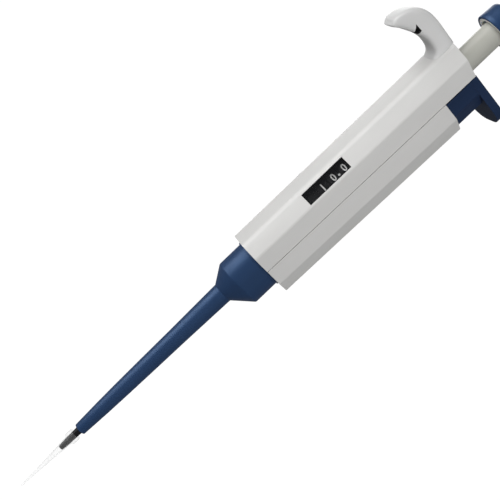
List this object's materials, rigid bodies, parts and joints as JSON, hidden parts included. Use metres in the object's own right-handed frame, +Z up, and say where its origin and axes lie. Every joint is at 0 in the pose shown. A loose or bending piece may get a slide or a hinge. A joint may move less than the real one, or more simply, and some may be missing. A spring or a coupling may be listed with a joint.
{
  "type": "adjustable pipette",
  "caption": "Slim adjustable laboratory pipette with thumb plunger, finger hook, digit window, side ejector pad and a fitted disposable tip.",
  "frame": {"origin": "on the piston axis at the rim plane of the fitted tip", "axes": "+Z up the piston axis towards the plunger button, -X towards the finger hook, +X towards the ejector pad"},
  "size_m": [0.064, 0.0244, 0.276],
  "materials": {
    "body_grey": "satin moulded plastic",
    "hook_grey": "satin moulded plastic",
    "window_clear": "clear polycarbonate",
    "bushing_white": "acetal",
    "counter_black": "black moulded plastic",
    "steel": "ground stainless steel",
    "barrel_dark": "black chemical-resistant plastic",
    "seal_ptfe": "white fluoropolymer",
    "seal_rubber": "black elastomer",
    "brass_nut": "machined brass",
    "button_blue": "satin blue moulded plastic",
    "tube_grey": "satin moulded plastic",
    "button_navy": "navy moulded plastic",
    "sleeve_blue": "satin blue moulded plastic",
    "tip_clear": "clear polypropylene"
  },
  "bodies": {
    "base": {"front_shell": "body_grey", "back_cover": "body_grey", "window_lens": "window_clear", "finger_hook": "hook_grey", "top_bushing": "bushing_white", "counter_frame": "counter_black", "pinion_shaft": "steel", "barrel": "barrel_dark", "barrel_nut": "barrel_dark", "nozzle": "barrel_dark", "piston_seal": "seal_ptfe", "seal_o_ring": "seal_rubber", "seal_retainer": "bushing_white", "return_spring": "steel", "blowout_spring": "steel", "ejector_spring": "steel"},
    "plunger": {"volume_nut": "brass_nut", "piston": "steel", "piston_head": "bushing_white"},
    "knob": {"plunger_cap": "button_blue", "cap_ring": "bushing_white", "plunger_tube": "tube_grey", "spindle": "steel"},
    "blowout_stop": {"blowout_seat": "steel"},
    "tens_wheel": {"drum_tens": "counter_black"},
    "units_wheel": {"drum_units": "counter_black"},
    "tenths_wheel": {"drum_tenths": "counter_black"},
    "pinion_low": {"transfer_pinion_low": "bushing_white"},
    "pinion_high": {"transfer_pinion_high": "bushing_white"},
    "ejector": {"ejector_button": "button_navy", "ejector_rod": "steel", "ejector_collar": "sleeve_blue", "ejector_sleeve": "sleeve_blue"},
    "tip": {"pipette_tip": "tip_clear"}
  },
  "joints": [
    {"name": "plunger_press", "type": "slide", "parent": "base", "child": "plunger", "axis": [0, 0, -1], "range_m": [0, 0.0155], "stiffness_N_per_m": 160, "springref_m": -0.004, "deforming": ["return_spring"]},
    {"name": "volume_turn", "type": "hinge", "parent": "plunger", "child": "knob", "pos_m": [0, 0, 0.2], "axis": [0, 0, 1], "range_deg": [-3420, 0]},
    {"name": "blowout_follow", "type": "slide", "parent": "base", "child": "blowout_stop", "axis": [0, 0, -1], "range_m": [0, 0.0028], "deforming": ["blowout_spring"]},
    {"name": "tenths_turn", "type": "hinge", "parent": "base", "child": "tenths_wheel", "pos_m": [0, 0, 0.1546], "axis": [0, 0, 1], "range_deg": [-3420, 0]},
    {"name": "units_turn", "type": "hinge", "parent": "base", "child": "units_wheel", "pos_m": [0, 0, 0.1489], "axis": [0, 0, 1], "range_deg": [-342, 0]},
    {"name": "tens_turn", "type": "hinge", "parent": "base", "child": "tens_wheel", "pos_m": [0, 0, 0.1432], "axis": [0, 0, 1], "range_deg": [-34.2, 0]},
    {"name": "pinion_high_turn", "type": "hinge", "parent": "base", "child": "pinion_high", "pos_m": [0.00873, 0.00786, 0.15175], "axis": [0, 0, 1], "range_deg": [0, 855]},
    {"name": "pinion_low_turn", "type": "hinge", "parent": "base", "child": "pinion_low", "pos_m": [0.00873, 0.00786, 0.14605], "axis": [0, 0, 1], "range_deg": [0, 85.5]},
    {"name": "ejector_press", "type": "slide", "parent": "base", "child": "ejector", "axis": [0, 0, -1], "range_m": [0, 0.009], "stiffness_N_per_m": 250, "springref_m": -0.004, "deforming": ["ejector_spring"]},
    {"name": "tip_release", "type": "slide", "parent": "base", "child": "tip", "axis": [0, 0, -1], "range_m": [0, 0.009]}
  ],
  "couplings": [
    {"joint": "blowout_follow", "follows": "plunger_press", "ratio": 0.18065},
    {"joint": "tenths_turn", "follows": "volume_turn", "ratio": 1},
    {"joint": "units_turn", "follows": "volume_turn", "ratio": 0.1},
    {"joint": "tens_turn", "follows": "volume_turn", "ratio": 0.01},
    {"joint": "pinion_high_turn", "follows": "volume_turn", "ratio": -0.25},
    {"joint": "pinion_low_turn", "follows": "volume_turn", "ratio": -0.025},
    {"joint": "tip_release", "follows": "ejector_press", "ratio": 1}
  ]
}
